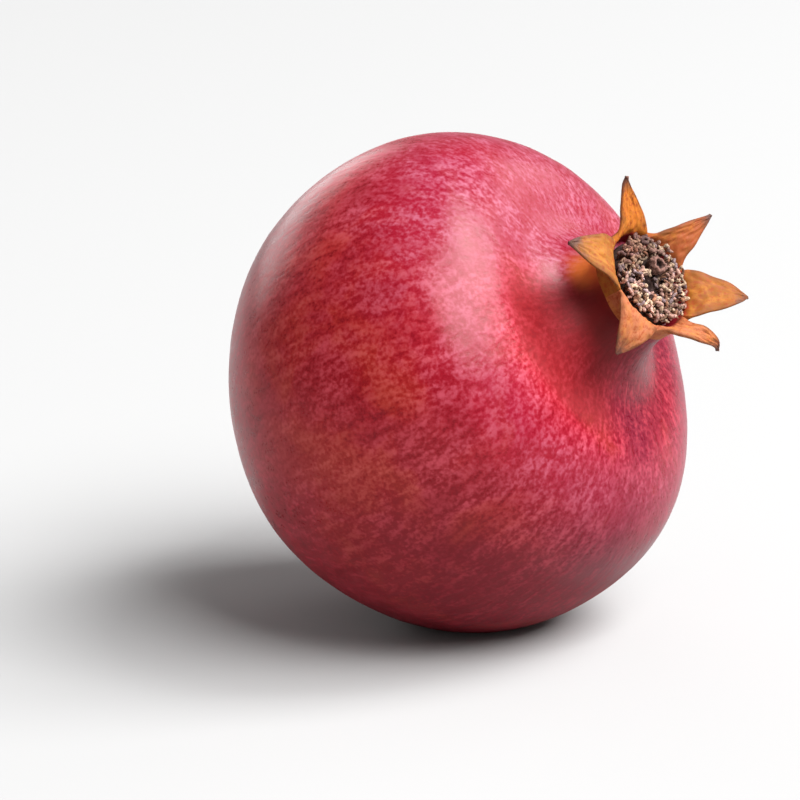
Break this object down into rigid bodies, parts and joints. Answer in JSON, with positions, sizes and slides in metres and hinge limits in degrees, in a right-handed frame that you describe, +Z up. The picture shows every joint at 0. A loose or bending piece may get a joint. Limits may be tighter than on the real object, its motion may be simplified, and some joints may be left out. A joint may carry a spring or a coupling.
{
  "type": "pomegranate",
  "caption": "Whole ripe pomegranate lying on its cheek, with a red rind, an open crown of dried lobes and a clipped stem stub.",
  "frame": {"origin": "on the resting surface, straight below the middle of the fruit's body", "axes": "+Z up from the resting spot, +X the way the crown points as seen from above, +Y across the fruit to the left of the crown"},
  "size_m": [0.0999, 0.1018, 0.0991],
  "materials": {
    "rind": "smooth leathery fruit skin, satin, crimson mottled with pink and fine short streaks",
    "calyx": "dry leathery crown lobes, matt, orange-tan with brown edges and tips",
    "stamens": "dry matted filaments and anthers, matt, grey-pink and cream over dark brown",
    "style": "dry wrinkled style with a pitted tip, matt, grey-brown",
    "stem_stub": "rough bark with a pale cut end, matt"
  },
  "bodies": {
    "root": {"rind": "rind", "calyx": "calyx", "stamens": "stamens", "style": "style", "stem_stub": "stem_stub"}
  },
  "joints": []
}
